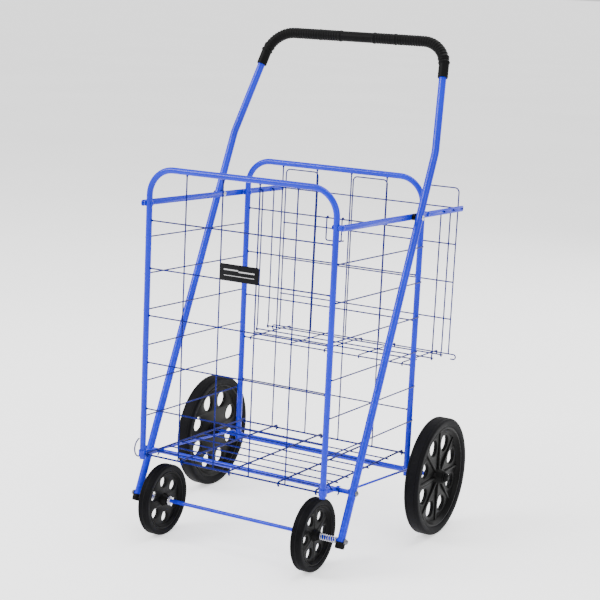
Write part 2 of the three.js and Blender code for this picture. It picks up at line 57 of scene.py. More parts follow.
BODIES = frame["record"]["behaviour"]["bodies"]
BODY = {node: body for body, nodes in BODIES.items() for node in nodes}
SIDES = (("left", -1), ("right", 1))


# ---- places taken from the frame ----
def low(node):
    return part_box(node)[0]


def high(node):
    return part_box(node)[1]


def middle(node):
    return (low(node) + high(node)) / 2


GAP = 0.0003
POST_R = 0.00635
WIRE_R = 0.0015
STOUT_R = 0.002  # lowest grille wires and the long wires of the basket floor
HANDLE_R = 0.008
GRIP_R = 0.0115
CROSS_R = 0.005  # tube across the handle legs
ROD_R = 0.0025  # side rods of the bottom frame
AXLE_R = 0.0045
FRONT_AXLE_R = 0.004
TUBE_WALL = 0.0012
RIVET_R = 0.0025
RIVET_HEAD = 0.0052
RIVET_DOME = 0.0024
RIVET_HOLE = 0.0028
WIRE_HOLE = 0.002
CUT = 0.0003  # chamfer of a cut end
STOUT_CUT = 0.0004
HOOK_PLAY = 0.0005  # air between a hook and the wire that it turns on
WELD = 0.0022  # distance between crossing wires that are welded
WELD_BEAD = (0.0017, 0.0016, 0.0017)

POST_X = high("rear_tube").x - POST_R
REAR_Y = middle("rear_tube").y
FRONT_Y = middle("front_tube").y
REAR_PIVOT = middle("rear_rivet_right")
FRONT_PIVOT = middle("front_rivet_right")
HANDLE_PIVOT = middle("handle_rivet_right")
REAR_AXLE = middle("rear_axle")
FRONT_AXLE = middle("front_axle")
CROSS = middle("cross_bolt_right")
DEPTH = REAR_Y - FRONT_Y
RISE = FRONT_PIVOT.z - REAR_PIVOT.z
STRAP_IN = low("strap_right").x
STRAP_OUT = high("strap_right").x
STRAP_TIP = 0.008
TAIL_Y = high("strap_right").y - STRAP_TIP
HANDLE_X = middle("handle_cap_right").x
HANDLE_IN = HANDLE_X - HANDLE_R - GAP
HANDLE_OUT = HANDLE_X + HANDLE_R + GAP
HANDLE_SLOPE = (HANDLE_PIVOT.y - FRONT_AXLE.y) / (HANDLE_PIVOT.z - FRONT_AXLE.z)
POST_FACE = POST_X + POST_R
SIDE_X = POST_FACE + 0.0004 + WIRE_R  # loose side wires, just clear of the posts
STUB_X = STRAP_OUT + 0.0025  # wire ends that stand through a strap
HANGER_Y = (REAR_Y + 0.080, REAR_Y + 0.130)

GRILLE_PITCH = 0.0984
GRILLE_ROWS = 6
UPRIGHT_X = (-0.127, -0.042, 0.042, 0.127)
SIDE_ROWS = 6
LINK_BEND = 0.0028
FRAME_BEND = 0.055
HANDLE_BREAK = 0.822
HANDLE_TOP_X = 0.209
HANDLE_TOP_BEHIND = 0.079  # top bar behind the rear posts
HANDLE_PAST_AXLE = 0.008
HANDLE_BEND = 0.060
BREAK_BEND = 0.120
GRIP_START = 0.971
WIRE_SIDES = 10
TUBE_SIDES = 28


def up(y):
    """Lift of a long sloping link at y, above its height at the rear posts."""
    return RISE * (REAR_Y - y) / DEPTH


FRONT_ROW = low("front_grille").z + 0.0016  # middle of the lowest wire, which is faceted in the CAD
REAR_ROW = FRONT_ROW - RISE
REAR_FLOOR_Z = REAR_ROW + 2 * GRILLE_PITCH
LEAN = math.degrees(math.atan2(RISE, DEPTH))


# ---- materials ----
class Shader:
    """A small helper that wires up the nodes of one procedural material."""

    def __init__(self, name):
        self.material = bpy.data.materials.new(name)
        self.material.use_nodes = True
        self.tree = self.material.node_tree
        self.surface = self.tree.nodes["Principled BSDF"]
        self.place = self.tree.nodes.new("ShaderNodeTexCoord").outputs["Object"]

    def feed(self, socket, value):
        """Link an output to the socket, or set the socket's own value."""
        if isinstance(value, bpy.types.NodeSocket):
            self.tree.links.new(value, socket)
        else:
            socket.default_value = value

    def node(self, kind, links=None, **settings):
        made = self.tree.nodes.new(kind)
        for key, value in settings.items():
            setattr(made, key, value)
        for socket, value in (links or {}).items():
            self.feed(made.inputs[socket], value)
        return made

    def noise(self, scale, detail, rough=0.5, stretch=None):
        place = self.place
        if stretch:
            place = self.node("ShaderNodeMapping", {"Vector": place, "Scale": stretch}).outputs[0]
        links = {"Vector": place, "Scale": scale, "Detail": detail, "Roughness": rough}
        return self.node("ShaderNodeTexNoise", links).outputs["Fac"]

    def ramp(self, factor, first, second):
        """A blend between two stops, each a position and a colour."""
        made = self.node("ShaderNodeValToRGB", {"Fac": factor})
        for element, (place, colour) in zip(made.color_ramp.elements, (first, second)):
            element.position = place
            element.color = (*colour, 1)
        return made.outputs["Color"]

    def span(self, factor, to_low, to_high, from_low=0.0, from_high=1.0):
        links = {"Value": factor, "From Min": from_low, "From Max": from_high,
                 "To Min": to_low, "To Max": to_high}
        return self.node("ShaderNodeMapRange", links).outputs["Result"]

    def mix(self, factor, first, second):
        links = {0: factor, 6: first, 7: second}
        return self.node("ShaderNodeMix", links, data_type="RGBA").outputs[2]

    def bump(self, height, distance, under=None):
        links = {"Height": height, "Distance": distance, "Strength": 1.0}
        if under:
            links["Normal"] = under
        return self.node("ShaderNodeBump", links).outputs["Normal"]

    def set(self, **values):
        for name, value in values.items():
            self.feed(self.surface.inputs[name.replace("_", " ")], value)
        return self.material


def gained(colour, gain=1.0):
    return (*(gain * c for c in colour), 1)


def grey(value, blue=1.0):
    return (value, value, value * blue)


def edge_wear(s):
    """Nearly 0 on flat and round surfaces, towards 1 on sharp outer edges, broken up by noise."""
    edges = s.node("ShaderNodeNewGeometry").outputs["Pointiness"]
    edges = s.span(edges, 0.0, 1.0, from_low=0.53, from_high=0.62)
    broken = s.span(s.noise(scale=160, detail=4), 0.0, 1.0, from_low=0.45, from_high=0.7)
    return s.node("ShaderNodeMath", {0: edges, 1: broken}, operation="MULTIPLY").outputs[0]


def powder_coat(name, deep, bright, shine):
    """Glossy blue powder coat: a slow drift of colour, fine specks, orange peel and rubbed edges."""
    s = Shader(name)
    drift = s.span(s.noise(scale=9, detail=2), 0.0, 1.0, from_low=0.3, from_high=0.7)
    colour = s.mix(drift, gained(deep), gained(bright))
    speck = s.span(s.noise(scale=1400, detail=2), 0.0, 1.0, from_low=0.62, from_high=0.74)
    colour = s.mix(speck, colour, gained(bright, 1.25))
    colour = s.mix(edge_wear(s), colour, gained(bright, 1.5))
    haze = s.noise(scale=38, detail=4, rough=0.6)
    peel = s.bump(s.noise(scale=520, detail=2), distance=0.00006)
    grit = s.bump(s.noise(scale=2600, detail=2), distance=0.00001, under=peel)
    return s.set(Base_Color=colour, Roughness=s.span(haze, 0.24, 0.38), Normal=grit,
                 Coat_Weight=shine, Coat_Roughness=0.08, Specular_IOR_Level=shine * 2)


def moulded_black(name, dark, light, rough, grain):
    """Moulded black plastic: faint flow marks, a fine tool grain and scuffed edges."""
    s = Shader(name)
    flow = s.noise(scale=14, detail=3, rough=0.6, stretch=(1, 1, 2.5))
    colour = s.ramp(flow, (0.25, grey(dark)), (0.8, grey(light, blue=1.08)))
    colour = s.mix(edge_wear(s), colour, (light * 2.2, light * 2.2, light * 2.3, 1))
    bump = s.bump(s.noise(scale=grain, detail=3), distance=0.00005)
    haze = s.noise(scale=60, detail=4)
    return s.set(Base_Color=colour, Roughness=s.span(haze, rough, rough + 0.16), Normal=bump,
                 Specular_IOR_Level=0.06)


def tyre_rubber():
    """Matt rubber in uneven patches of black, with pale dust in its grain."""
    s = Shader("tyre_rubber")
    patches = s.noise(scale=22, detail=5, rough=0.65)
    colour = s.ramp(patches, (0.3, (0.0022, 0.0022, 0.0028)), (0.7, (0.0045, 0.0045, 0.0055)))
    dust = s.span(s.noise(scale=210, detail=4), 0.0, 0.3, from_low=0.55, from_high=0.8)
    colour = s.mix(dust, colour, (0.013, 0.012, 0.013, 1))
    bump = s.bump(s.noise(scale=900, detail=4, rough=0.6), distance=0.00009)
    return s.set(Base_Color=colour, Roughness=s.span(patches, 0.48, 0.66), Normal=bump,
                 Specular_IOR_Level=0.05)


def zinc_plate(name, dark, light, rough):
    """Zinc plating with a fine spangle and rub marks."""
    s = Shader(name)
    spangle = s.node("ShaderNodeTexVoronoi", {"Vector": s.place, "Scale": 420.0}).outputs["Color"]
    tone = s.node("ShaderNodeSeparateColor", {"Color": spangle}).outputs[0]
    colour = s.ramp(tone, (0.0, grey(dark, blue=1.1)), (1.0, grey(light, blue=1.08)))
    rub = s.bump(s.noise(scale=700, detail=3), distance=0.00002)
    return s.set(Base_Color=colour, Metallic=1.0, Normal=rub,
                 Roughness=s.span(s.noise(scale=90, detail=3), rough, rough + 0.18))


def gloss_plate():
    """Black lacquered sheet with a faint cloud."""
    s = Shader("label_gloss_black")
    cloud = s.noise(scale=60, detail=3)
    colour = s.ramp(cloud, (0.3, (0.002, 0.002, 0.003)), (0.7, (0.005, 0.005, 0.006)))
    return s.set(Base_Color=colour, Roughness=s.span(cloud, 0.30, 0.42),
                 Normal=s.bump(s.noise(scale=500, detail=2), distance=0.00002), Specular_IOR_Level=0.08)


def white_print():
    """White screen print, thinner in places."""
    s = Shader("label_white_print")
    ink = s.noise(scale=900, detail=3)
    colour = s.ramp(ink, (0.3, (0.30, 0.30, 0.31)), (0.6, (0.42, 0.42, 0.43)))
    return s.set(Base_Color=colour, Roughness=s.span(ink, 0.4, 0.55))


PAINT = powder_coat("blue_powder_coat", deep=(0.0004, 0.0060, 0.36), bright=(0.0008, 0.0110, 0.48),
                    shine=0.09)
# The wires get a much darker copy of the same blue powder coat: painted shade that darkens the thin wires.
SHADED_WIRE_PAINT = powder_coat("blue_wire_coat_painted_shade", deep=(0.0005, 0.0022, 0.085), bright=(0.0007, 0.0032, 0.125),
                         shine=0.03)
WHEEL_BLACK = moulded_black("wheel_black", dark=0.0015, light=0.0035, rough=0.30, grain=650)
GRIP_BLACK = moulded_black("grip_black", dark=0.0020, light=0.0040, rough=0.42, grain=1100)
PLUG_BLACK = moulded_black("plug_black", dark=0.0020, light=0.0045, rough=0.40, grain=900)
RUBBER = tyre_rubber()
ZINC = zinc_plate("zinc_plate", dark=0.38, light=0.56, rough=0.20)
DULL_ZINC = zinc_plate("dull_zinc_plate", dark=0.10, light=0.18, rough=0.32)
LABEL = gloss_plate()
PRINT = white_print()


# ---- geometry helpers ----
def at(x, y, z):
    return Vector((x, y, z))


ORIGIN = at(0, 0, 0)


def new_object(name, data):
    made = bpy.data.objects.new(name, data)
    bpy.context.scene.collection.objects.link(made)
    return made


def new_mesh(name, bm):
    mesh = bpy.data.meshes.new(name)
    bm.to_mesh(mesh)
    bm.free()
    return mesh


def bent(points, radius, steps):
    """The polyline with its inner corners rounded; radius is one number or one per corner."""
    samples = [points[0].copy()]
    for i in range(1, len(points) - 1):
        back = (points[i - 1] - points[i]).normalized()
        ahead = (points[i + 1] - points[i]).normalized()
        half = back.angle(ahead) / 2
        r = radius[i - 1] if isinstance(radius, (list, tuple)) else radius
        centre = (back + ahead).normalized() * (r / math.sin(half)) + points[i]
        first = points[i] + back * (r / math.tan(half)) - centre
        axis = ahead.cross(back).normalized()
        for k in range(steps + 1):
            turn = Quaternion(axis, (math.pi - 2 * half) * k / steps)
            samples.append(turn @ first + centre)
    samples.append(points[-1].copy())
    return samples


def arc(x, centre_y, centre_z, radius, start, end, steps=14):
    """An arc in the plane at x; angles in degrees from +Y towards +Z."""
    found = []
    for k in range(steps + 1):
        angle = math.radians(start + (end - start) * k / steps)
        found.append(at(x, centre_y + radius * math.cos(angle), centre_z + radius * math.sin(angle)))
    return found


def frames_along(samples):
    """A point and two cross directions for each sample, without twist."""
    spans = [(b - a).normalized() for a, b in zip(samples, samples[1:])]
    tangents = [spans[0]] + [(a + b).normalized() for a, b in zip(spans, spans[1:])] + [spans[-1]]
    across = tangents[0].orthogonal().normalized()
    found = []
    for i, tangent in enumerate(tangents):
        if i:
            across = tangents[i - 1].rotation_difference(tangent) @ across
        found.append((samples[i], across, tangent.cross(across)))
    return found


def skin(bm, rings):
    """Faces between rings, each joined to the next; a ring of one vertex is a tip."""
    for first, second in zip(rings, rings[1:]):
        count = max(len(first), len(second))
        for k in range(count):
            j = (k + 1) % count
            corners = (first[k % len(first)], first[j % len(first)],
                       second[j % len(second)], second[k % len(second)])
            bm.faces.new(list(dict.fromkeys(corners)))


def solid(bm, rings):
    """A skin with its first and last ring filled in."""
    skin(bm, rings)
    bm.faces.new(rings[0])
    bm.faces.new(rings[-1])


def ring_at(bm, place, across, other, radius, sides):
    """A ring of vertices round a place, in the plane of two directions; one vertex if it has no radius."""
    if radius <= 0:
        return [bm.verts.new(place)]
    found = []
    for k in range(sides):
        angle = 2 * math.pi * k / sides
        offset = across * math.cos(angle) + other * math.sin(angle)
        found.append(bm.verts.new(place + offset * radius))
    return found


def tube(bm, samples, radius, sides=WIRE_SIDES, bore=0.0, chamfer=0.0):
    """A round bar along the samples, or a pipe where it has a bore. Radius may be one per sample."""
    radii = list(radius) if isinstance(radius, (list, tuple)) else [radius] * len(samples)
    samples = list(samples)
    if chamfer:
        for end, near in ((0, 1), (-1, -2)):
            inward = (samples[near] - samples[end]).normalized() * chamfer
            tip = samples[end].copy()
            samples[end] = tip + inward
            samples.insert(0 if end == 0 else len(samples), tip)
            radii.insert(0 if end == 0 else len(radii), radii[end] - chamfer)
    places = frames_along(samples)
    outer = [ring_at(bm, p, a, b, r, sides) for (p, a, b), r in zip(places, radii)]
    if not bore:
        solid(bm, outer)
        return
    inner = [ring_at(bm, p, a, b, bore, sides) for p, a, b in places]
    for rings in (outer, inner, (outer[0], inner[0]), (outer[-1], inner[-1])):
        skin(bm, rings)


def turned(bm, profile, centre, sides, side=1, closed=False):
    """A body turned about the X direction; the profile holds (distance along X, radius)."""
    places = [(at(side * along, centre.y, centre.z), radius) for along, radius in profile]
    rings = [ring_at(bm, place, at(0, 1, 0), at(0, 0, 1), radius, sides) for place, radius in places]
    skin(bm, rings + rings[:1] if closed else rings)


def rounded(points, radius):
    """A closed outline of (u, v) pairs with rounded corners."""
    steps = 5
    found = []
    for i, point in enumerate(points):
        corner = Vector(point)
        back = (Vector(points[i - 1]) - corner).normalized()
        ahead = (Vector(points[(i + 1) % len(points)]) - corner).normalized()
        half = back.angle(ahead) / 2
        centre = corner + (back + ahead).normalized() * (radius / math.sin(half))
        start = corner + back * (radius / math.tan(half)) - centre
        end = corner + ahead * (radius / math.tan(half)) - centre
        for k in range(steps + 1):
            found.append(centre + start.lerp(end, k / steps).normalized() * radius)
    return found


def box_outline(u0, v0, u1, v1):
    return [(u0, v0), (u1, v0), (u1, v1), (u0, v1)]


def circle(u, v, radius, steps=TUBE_SIDES):
    turns = (2 * math.pi * k / steps for k in range(steps))
    return [Vector((u + radius * math.cos(t), v + radius * math.sin(t))) for t in turns]


def plate(bm, outlines, x0, x1, bevel=0.0004):
    """A flat piece drawn in Y and Z, from x0 to x1: the first outline is its edge, the rest are holes."""
    curve = bpy.data.curves.new("outline", "CURVE")
    curve.dimensions = "2D"
    curve.fill_mode = "BOTH"
    curve.extrude = (x1 - x0) / 2 - bevel
    curve.bevel_depth = bevel
    curve.bevel_resolution = 1
    curve.offset = -bevel
    for outline in outlines:
        spline = curve.splines.new("POLY")
        spline.points.add(len(outline) - 1)
        for point, (u, v) in zip(spline.points, outline):
            point.co = (u, v, 0, 1)
        spline.use_cyclic_u = True
    holder = new_object("outline", curve)
    mesh = bpy.data.meshes.new_from_object(holder.evaluated_get(bpy.context.evaluated_depsgraph_get()))
    bpy.data.objects.remove(holder)
    bpy.data.curves.remove(curve)
    mesh.transform(Matrix(((0, 0, 1, (x0 + x1) / 2), (1, 0, 0, 0), (0, 1, 0, 0), (0, 0, 0, 1))))
    held = len(bm.verts)
    bm.from_mesh(mesh)
    bpy.data.meshes.remove(mesh)
    bm.verts.ensure_lookup_table()
    bmesh.ops.remove_doubles(bm, verts=bm.verts[held:], dist=1e-6)


def bead(bm, place, size):
    """A lump of weld metal: size is its half lengths along X, Y and Z."""
    matrix = Matrix.Translation(place) @ Matrix.Diagonal((*size, 1))
    bmesh.ops.create_uvsphere(bm, u_segments=10, v_segments=6, radius=1, matrix=matrix)


def crosswire(bm, half, y, z):
    tube(bm, [at(-half, y, z), at(half, y, z)], WIRE_R, chamfer=CUT)


def shift(bm, place, turn=Matrix.Identity(4)):
    bmesh.ops.transform(bm, matrix=Matrix.Translation(place) @ turn, verts=bm.verts)


def piece(name, bm, material, node=None, body=None, sharp=38):
    """Turns a bmesh into a piece that stands for a CAD node, or into an extra one on a body."""
    bmesh.ops.recalc_face_normals(bm, faces=bm.faces)
    mesh = new_mesh(name, bm)
    mesh.shade_smooth()
    mesh.set_sharp_from_angle(angle=math.radians(sharp))
    mesh.materials.append(material)
    made = new_object(name, mesh)
    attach(made, body or BODY[node])
    if node:
        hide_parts(node)


def turned_piece(name, profile, centre, sides, side, material, node=None, body=None, closed=False):
    bm = bmesh.new()
    turned(bm, profile, centre, sides, side, closed)
    piece(name, bm, material, node, body)


def stood_piece(name, profile, place, turn, sides, node=None, body=None):
    """A black plastic piece turned about the X direction, then turned and moved into place."""
    bm = bmesh.new()
    turned(bm, profile, ORIGIN, sides)
    shift(bm, place, turn)
    piece(name, bm, PLUG_BLACK, node, body)


def wire_piece(name, line, node=None, body=None, cut=CUT):
    bm = bmesh.new()
    tube(bm, line, WIRE_R, chamfer=cut)
    piece(name, bm, SHADED_WIRE_PAINT, node, body)


def flared_wire(bm, start, end, radius, start_welded=True):
    """A straight wire whose welded ends spread into small collars of weld metal."""
    flare, reach = 0.0011, 0.0035
    collar = ((0.0, 1.0), (0.25, 0.75), (0.55, 0.3), (1.0, 0.0))
    way = (end - start).normalized() * reach
    first = collar if start_welded else [(0.0, 0.0)]
    samples = [start + way * step for step, _ in first] + [end - way * step for step, _ in collar[::-1]]
    radii = [radius + flare * share for _, share in (*first, *collar[::-1])]
    tube(bm, samples, radii)


# ---- camera, floor and light ----
def make_camera():
    """Low three-quarter view from the front right, slightly rolled."""
    place = (1.5753, -2.868, 1.152)
    azimuth, elevation, roll = (math.radians(a) for a in (28.8, 11.4, 2.7))
    back = at(math.sin(azimuth) * math.cos(elevation), -math.cos(azimuth) * math.cos(elevation),
              math.sin(elevation))
    right = at(math.cos(azimuth), math.sin(azimuth), 0)
    upward = back.cross(right)
    x_axis = right * math.cos(roll) + upward * math.sin(roll)
    y_axis = upward * math.cos(roll) - right * math.sin(roll)
    data = bpy.data.cameras.new("camera")
    data.sensor_width = 36
    data.lens = 94.26
    camera = new_object("camera", data)
    turn = Matrix((x_axis, y_axis, back)).transposed().to_4x4()
    camera.matrix_world = Matrix.Translation(place) @ turn
    bpy.context.scene.camera = camera


def make_floor():
    reach = 400
    bm = bmesh.new()
    bmesh.ops.create_grid(bm, x_segments=2, y_segments=2, size=reach)
    mesh = new_mesh("floor", bm)
    s = Shader("pale_floor")
    cloud = s.noise(scale=0.7, detail=2)
    colour = s.ramp(cloud, (0.3, grey(0.88)), (0.7, grey(0.91)))
    glow = s.span(cloud, 0.95, 1.0)
    mesh.materials.append(s.set(Base_Color=colour, Roughness=s.span(cloud, 0.6, 0.7),
                                Emission_Color=colour, Emission_Strength=glow))
    new_object("floor", mesh)


def make_light(name, place, size, power):
    """A soft box aimed at the middle of the cart."""
    data = bpy.data.lights.new(name, "AREA")
    data.shape = "RECTANGLE"
    data.size, data.size_y = size
    data.energy = power
    light = new_object(name, data)
    light.location = place
    light.rotation_mode = "QUATERNION"
    light.rotation_quaternion = (at(0, 0, 0.5) - Vector(place)).to_track_quat("-Z", "Y")


def make_studio():
    make_camera()
    make_floor()
    make_light("key", (-2.6, -2.6, 3.0), (2.0, 2.0), 230)
    make_light("fill", (3.4, -1.6, 2.0), (2.0, 2.6), 60)
    make_light("top", (0.3, 0.6, 3.8), (3.0, 3.0), 130)
    make_light("rear", (0.6, 3.4, 2.2), (2.5, 2.0), 60)
    world = bpy.data.worlds.new("studio")
    world.use_nodes = True
    sky = world.node_tree.nodes["Background"]
    sky.inputs["Color"].default_value = (1, 1, 1, 1)
    sky.inputs["Strength"].default_value = 0.95
    bpy.context.scene.world = world


# ---- frames and grilles ----
def make_upright_frame(word, y):
    """An inverted U of tube with a plug up each leg; the rear one has sleeves for the axle."""
    node = f"{word}_tube"
    bottom, top = low(node).z, high(node).z - POST_R
    points = [at(-POST_X, y, bottom), at(-POST_X, y, top), at(POST_X, y, top), at(POST_X, y, bottom)]
    bm = bmesh.new()
    tube(bm, bent(points, FRAME_BEND, 16), POST_R, TUBE_SIDES, bore=POST_R - TUBE_WALL, chamfer=CUT)
    if word == "rear":
        reach, edge = POST_X - POST_R * 0.4, POST_X - POST_R
        bead_r, bore = POST_R + 0.0016, AXLE_R + GAP
        half = [(reach, bore), (reach, bead_r), (edge - 0.0012, bead_r), (edge - 0.0034, POST_R)]
        turned(bm, mirrored(half), REAR_AXLE, TUBE_SIDES, closed=True)
    piece(f"{word}_frame_tube", bm, PAINT, node)

    wide, stem_r, lip, stem = 0.0052, 0.0050, 0.0016, 0.009
    plug = [(0.0, 0.0), (0.0, 0.003), (0.0002, 0.0044), (0.0010, wide), (lip, wide),
            (lip, stem_r), (stem, stem_r), (stem, 0.0)]
    upward = Matrix.Rotation(-math.pi / 2, 4, "Y")
    for side_word, side in SIDES:
        place = at(side * POST_X, y, bottom)
        stood_piece(f"{word}_post_plug_{side_word}", plug, place, upward, 20, body=BODY[node])


def make_grille(word, y, lowest):
    """Cross wires between the posts and uprights just behind them, spot-welded where they cross."""
    half = POST_X - POST_R - GAP
    below = 0.0012
    top = high(f"{word}_tube").z - POST_R
    bm = bmesh.new()
    for row in range(GRILLE_ROWS):
        z = lowest + row * GRILLE_PITCH
        radius = STOUT_R if row == 0 else WIRE_R
        flared_wire(bm, at(-half, y, z), at(half, y, z), radius)
        for x in UPRIGHT_X:
            bead(bm, at(x, y + WELD / 2, z), WELD_BEAD)
    for x in UPRIGHT_X:
        foot = at(x, y + WELD, lowest - below)
        flared_wire(bm, foot, at(x, y + WELD, top - POST_R - GAP), WIRE_R, start_welded=False)
    piece(f"{word}_wire_grille", bm, SHADED_WIRE_PAINT, f"{word}_grille")


def facing_front(y):
    """Turns a plate drawn in Y and Z to lie in X and Z, with its face at y."""
    return Matrix(((0, 1, 0, 0), (1, 0, 0, y), (0, 0, 1, 0), (0, 0, 0, 1)))


def make_label():
    """Gloss black plate with plain printed stripes."""
    lo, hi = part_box("label_plate")
    bm = bmesh.new()
    plate(bm, [rounded(box_outline(lo.x, lo.z, hi.x, hi.z), 0.003)], 0, hi.y - lo.y, 0.0002)
    shift(bm, ORIGIN, facing_front(lo.y))
    piece("front_label_plate", bm, LABEL, "label_plate")

    thick = 0.00014
    centre = (lo.x + hi.x) / 2
    stripes = (          # height on the plate, shift from its middle, half length, width
        (0.0225, -0.0190, 0.0165, 0.0026),
        (0.0205, 0.0170, 0.0185, 0.0026),
        (0.0110, 0.0, 0.0350, 0.0011),
    )
    bm = bmesh.new()
    for height, aside, half, wide in stripes:
        x, z = centre + aside, lo.z + height
        bar = box_outline(x - half, z - wide / 2, x + half, z + wide / 2)
        plate(bm, [rounded(bar, wide * 0.3)], 0, thick, 0.00003)
    shift(bm, ORIGIN, facing_front(lo.y - thick * 0.7))
    piece("front_label_print", bm, PRINT, body=BODY["label_plate"])


# ---- strap linkage ----
def dome(start, radius, height):
    """Profile of a domed rivet head that stands on a flat face at start."""
    steps = 5
    found = [(start, radius)]
    for k in range(1, steps + 1):
        angle = math.pi / 2 * k / steps
        found.append((start + height * math.sin(angle), radius * math.cos(angle) if k < steps else 0.0))
    return found


def inward_dome(start, radius, height):
    """The same head facing the other way, from its tip."""
    return [(2 * start - x, r) for x, r in reversed(dome(start, radius, height))]


def mirrored(half):
    """A profile and its mirror image about the middle of X."""
    return half + [(-x, r) for x, r in reversed(half)]


def make_rivet(node, centre, side):
    """Domed rivet through a post and a strap, with a shoulder washer between them."""
    lo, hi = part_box(node)
    inner, outer = min(abs(lo.x), abs(hi.x)), max(abs(lo.x), abs(hi.x))
    near, far = inner + RIVET_DOME, outer - RIVET_DOME
    start, end = POST_FACE + GAP, STRAP_IN - GAP
    washer, chamfer, edge = 0.006, 0.0005, 0.0007
    profile = [(near, RIVET_R), (start, RIVET_R), (start, washer - chamfer), (start + edge, washer),
               (end - edge, washer), (end, washer - chamfer), (end, RIVET_R), (far, RIVET_R)]
    profile = inward_dome(near, RIVET_HEAD, RIVET_DOME) + profile + dome(far, RIVET_HEAD, RIVET_DOME)
    turned_piece(f"{node}_domed", profile, centre, 32, side, PAINT, node)


def make_straps():
    """Flat sloping straps, the rivets that they turn on, and the spacers beside the handle."""
    front, tail = low("strap_right").y, high("strap_right").y
    half_height, corner = 0.00625, 0.0045
    ends = ((front, -1), (tail, -1), (tail, 1), (front, 1))
    shape = rounded([(y, REAR_PIVOT.z + up(y) + sign * half_height) for y, sign in ends], corner)
    holes = [(p.y, RIVET_HOLE) for p in (FRONT_PIVOT, HANDLE_PIVOT, REAR_PIVOT)]
    holes += [(y, WIRE_HOLE) for y in (TAIL_Y, *HANGER_Y)]
    outlines = [shape] + [circle(y, REAR_PIVOT.z + up(y), r) for y, r in holes]
    for word, side in SIDES:
        bm = bmesh.new()
        plate(bm, outlines, *sorted((side * STRAP_IN, side * STRAP_OUT)))
        piece(f"flat_strap_{word}", bm, PAINT, f"strap_{word}")
        make_rivet(f"rear_rivet_{word}", REAR_PIVOT, side)
        make_rivet(f"front_rivet_{word}", FRONT_PIVOT, side)
        make_handle_rivet(word, side)


def make_handle_rivet(word, side):
    """Zinc rivet through strap and handle, and the flanged spacer between them."""
    node = f"handle_rivet_{word}"
    near, far = STRAP_IN - GAP, HANDLE_OUT
    profile = inward_dome(near, RIVET_HEAD, 0.0016) + [(near, RIVET_R), (far, RIVET_R)]
    profile += dome(far, RIVET_HEAD, RIVET_DOME)
    turned_piece(f"{node}_domed", profile, HANDLE_PIVOT, 32, side, ZINC, node)

    node = f"handle_spacer_{word}"
    near, far = STRAP_OUT + GAP, HANDLE_IN
    outer, flange, chamfer, rim, neck = 0.0062, 0.0070, 0.0004, 0.0014, 0.0018
    profile = [(near, RIVET_HOLE), (near, flange - chamfer), (near + chamfer, flange), (near + rim, flange),
               (near + neck, outer), (far - neck, outer), (far - rim, flange),
               (far - chamfer, flange), (far, flange - chamfer), (far, RIVET_HOLE)]
    turned_piece(f"{node}_flanged", profile, HANDLE_PIVOT, 40, side, PLUG_BLACK, node, closed=True)


def make_side_wires():
    """Loose wires up each side, with both ends turned into the posts."""
    for word, side in SIDES:
        for row in range(1, SIDE_ROWS + 1):
            node = f"side_wire_{word}_{row}"
            z = middle(node).z
            stub, x = side * (POST_X + WIRE_R), side * SIDE_X
            front, rear = z + RISE / 2, z - RISE / 2
            points = [at(stub, FRONT_Y, front), at(x, FRONT_Y, front),
                      at(x, REAR_Y, rear), at(stub, REAR_Y, rear)]
            wire_piece(f"side_link_{word}_{row}", bent(points, LINK_BEND, 8), node, cut=0)


# ---- handle ----
def handle_y(z):
    return FRONT_AXLE.y + HANDLE_SLOPE * (z - FRONT_AXLE.z)


def handle_corner(side):
    return at(side * HANDLE_TOP_X, REAR_Y + HANDLE_TOP_BEHIND, high("handle_tube").z - HANDLE_R)


def handle_break(side):
    return at(side * HANDLE_X, handle_y(HANDLE_BREAK), HANDLE_BREAK)


def handle_foot(side):
    end = FRONT_AXLE.z - HANDLE_PAST_AXLE
    return at(side * HANDLE_X, handle_y(end), end)


def evenly(samples, pitch):
    """The same line with points at an even distance."""
    lengths = [(b - a).length for a, b in zip(samples, samples[1:])]
    total = sum(lengths)
    count = round(total / pitch)
    found, i, walked = [], 0, 0.0
    for k in range(count + 1):
        target = total * k / count
        while i < len(lengths) - 1 and walked + lengths[i] < target:
            walked += lengths[i]
            i += 1
        found.append(samples[i].lerp(samples[i + 1], min(1.0, (target - walked) / lengths[i])))
    return found, total


def grip_radius(along, total):
    """Radius of the grip at a distance along it: smooth ends and middle, rings and fine ribs."""
    from_middle = abs(along - total / 2)
    from_end = min(along, total - along)
    cuff, smooth_half, rib_pitch, ring_half = 0.030, 0.041, 0.0062, 0.0028
    if from_end < 0.0008:
        return GRIP_R - 0.0012
    if from_end < cuff:
        return GRIP_R - 0.0005
    rings = [(from_end, place, 0.0013) for place in (0.034, 0.045)]
    rings += [(from_middle, place, 0.0010) for place in (smooth_half, 0.092)]
    for distance, place, tall in rings:
        if abs(distance - place) < ring_half:
            return GRIP_R + tall * math.cos((distance - place) / ring_half * math.pi / 2)
    if from_middle < smooth_half:
        return GRIP_R - 0.0004
    wave = 1.6 * math.cos(2 * math.pi * from_middle / rib_pitch)
    return GRIP_R - 0.0002 + 0.0007 * max(-0.6, min(0.8, wave))


